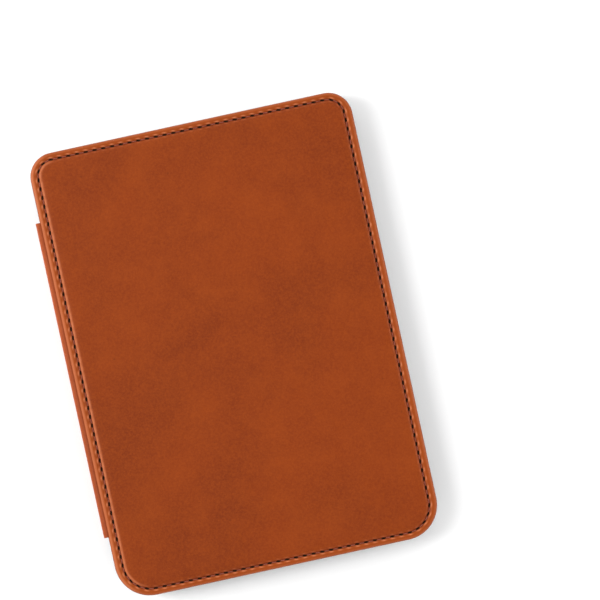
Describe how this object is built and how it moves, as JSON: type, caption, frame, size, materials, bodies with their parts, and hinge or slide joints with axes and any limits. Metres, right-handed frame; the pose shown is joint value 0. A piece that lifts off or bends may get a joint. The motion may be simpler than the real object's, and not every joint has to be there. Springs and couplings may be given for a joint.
{
  "type": "e-reader in a leather book cover",
  "caption": "Slim e-reader in a black tray with a leather back panel, a folding leather spine and a stitched leather front cover, closed and lying on its back.",
  "frame": {"origin": "middle of the back panel's resting face", "axes": "+X from the spine to the cover's free edge, +Y from the port edge to the top edge, +Z from the resting face out through the front cover"},
  "size_m": [0.1311, 0.1788, 0.0142],
  "materials": {
    "case_leather": "smooth cognac-brown pull-up leather, waxed, with lighter worn edges",
    "seam_thread": "dark waxed thread",
    "lining": "grey microfibre",
    "board": "pressed fibre board",
    "tray_plastic": "black polycarbonate with a fine satin texture",
    "reader_shell": "black soft-touch moulding",
    "window": "clear hard-coated window, anti-glare",
    "seal": "black adhesive foam and silicone",
    "film": "black printed film",
    "touch": "clear sensor film",
    "guide": "clear moulded light guide",
    "paper_display": "electronic paper, pale grey",
    "flexible_circuit": "amber polyimide film with copper tracks",
    "led": "moulded emitter package",
    "chassis_metal": "stamped and blasted plate",
    "steel": "bright stamped or turned steel",
    "magnet": "nickel-plated magnet",
    "circuit_board": "green solder mask",
    "chip_black": "moulded chip packages",
    "connector_plastic": "cream moulded connector",
    "battery_foil": "laminated pouch foil",
    "tape": "double-sided tape",
    "lead_jacket": "insulated leads",
    "button_plastic": "black moulding",
    "clear_plastic": "clear light pipe"
  },
  "bodies": {
    "case": {"case_tray": "tray_plastic", "tray_pad": "lining", "back_leather": "case_leather", "rear_housing": "reader_shell", "front_window": "window", "window_gasket": "seal", "bezel_film": "film", "touch_panel": "touch", "light_guide": "guide", "light_strip": "flexible_circuit", "light_leds": "led", "display_panel": "paper_display", "display_ribbon": "flexible_circuit", "display_connector": "connector_plastic", "chassis_plate": "chassis_metal", "chassis_screws": "steel", "main_board": "circuit_board", "board_screws": "steel", "processor": "chip_black", "memory_chip": "chip_black", "processor_shield": "steel", "wireless_shield": "steel", "board_chips": "chip_black", "hall_sensor": "chip_black", "reader_magnets": "magnet", "antenna": "flexible_circuit", "battery": "battery_foil", "battery_tape": "tape", "battery_circuit": "circuit_board", "battery_lead": "lead_jacket", "battery_socket": "connector_plastic", "usb_shell": "steel", "usb_tongue": "chip_black", "usb_seal": "seal", "power_switch": "steel", "status_led": "led", "status_light_pipe": "clear_plastic"},
    "spine": {"spine_leather": "case_leather", "spine_lining": "lining"},
    "cover": {"hinge_tab": "case_leather", "cover_leather": "case_leather", "cover_board": "board", "cover_lining": "lining", "cover_stitching": "seam_thread", "cover_magnets": "magnet", "wake_magnet": "magnet"},
    "button": {"power_button": "button_plastic", "switch_plunger": "connector_plastic"}
  },
  "joints": [
    {"name": "spine_hinge", "type": "hinge", "parent": "case", "child": "spine", "pos_m": [-0.0656, 0, 0.0008], "axis": [0, -1, 0], "range_deg": [0, 90]},
    {"name": "cover_hinge", "type": "hinge", "parent": "spine", "child": "cover", "pos_m": [-0.0656, 0, 0.0131], "axis": [0, -1, 0], "range_deg": [0, 90]},
    {"name": "power_button_press", "type": "slide", "parent": "case", "child": "button", "axis": [0, 1, 0], "range_m": [0, 0.0003], "stiffness_N_per_m": 1500, "springref_m": -0.0003}
  ]
}
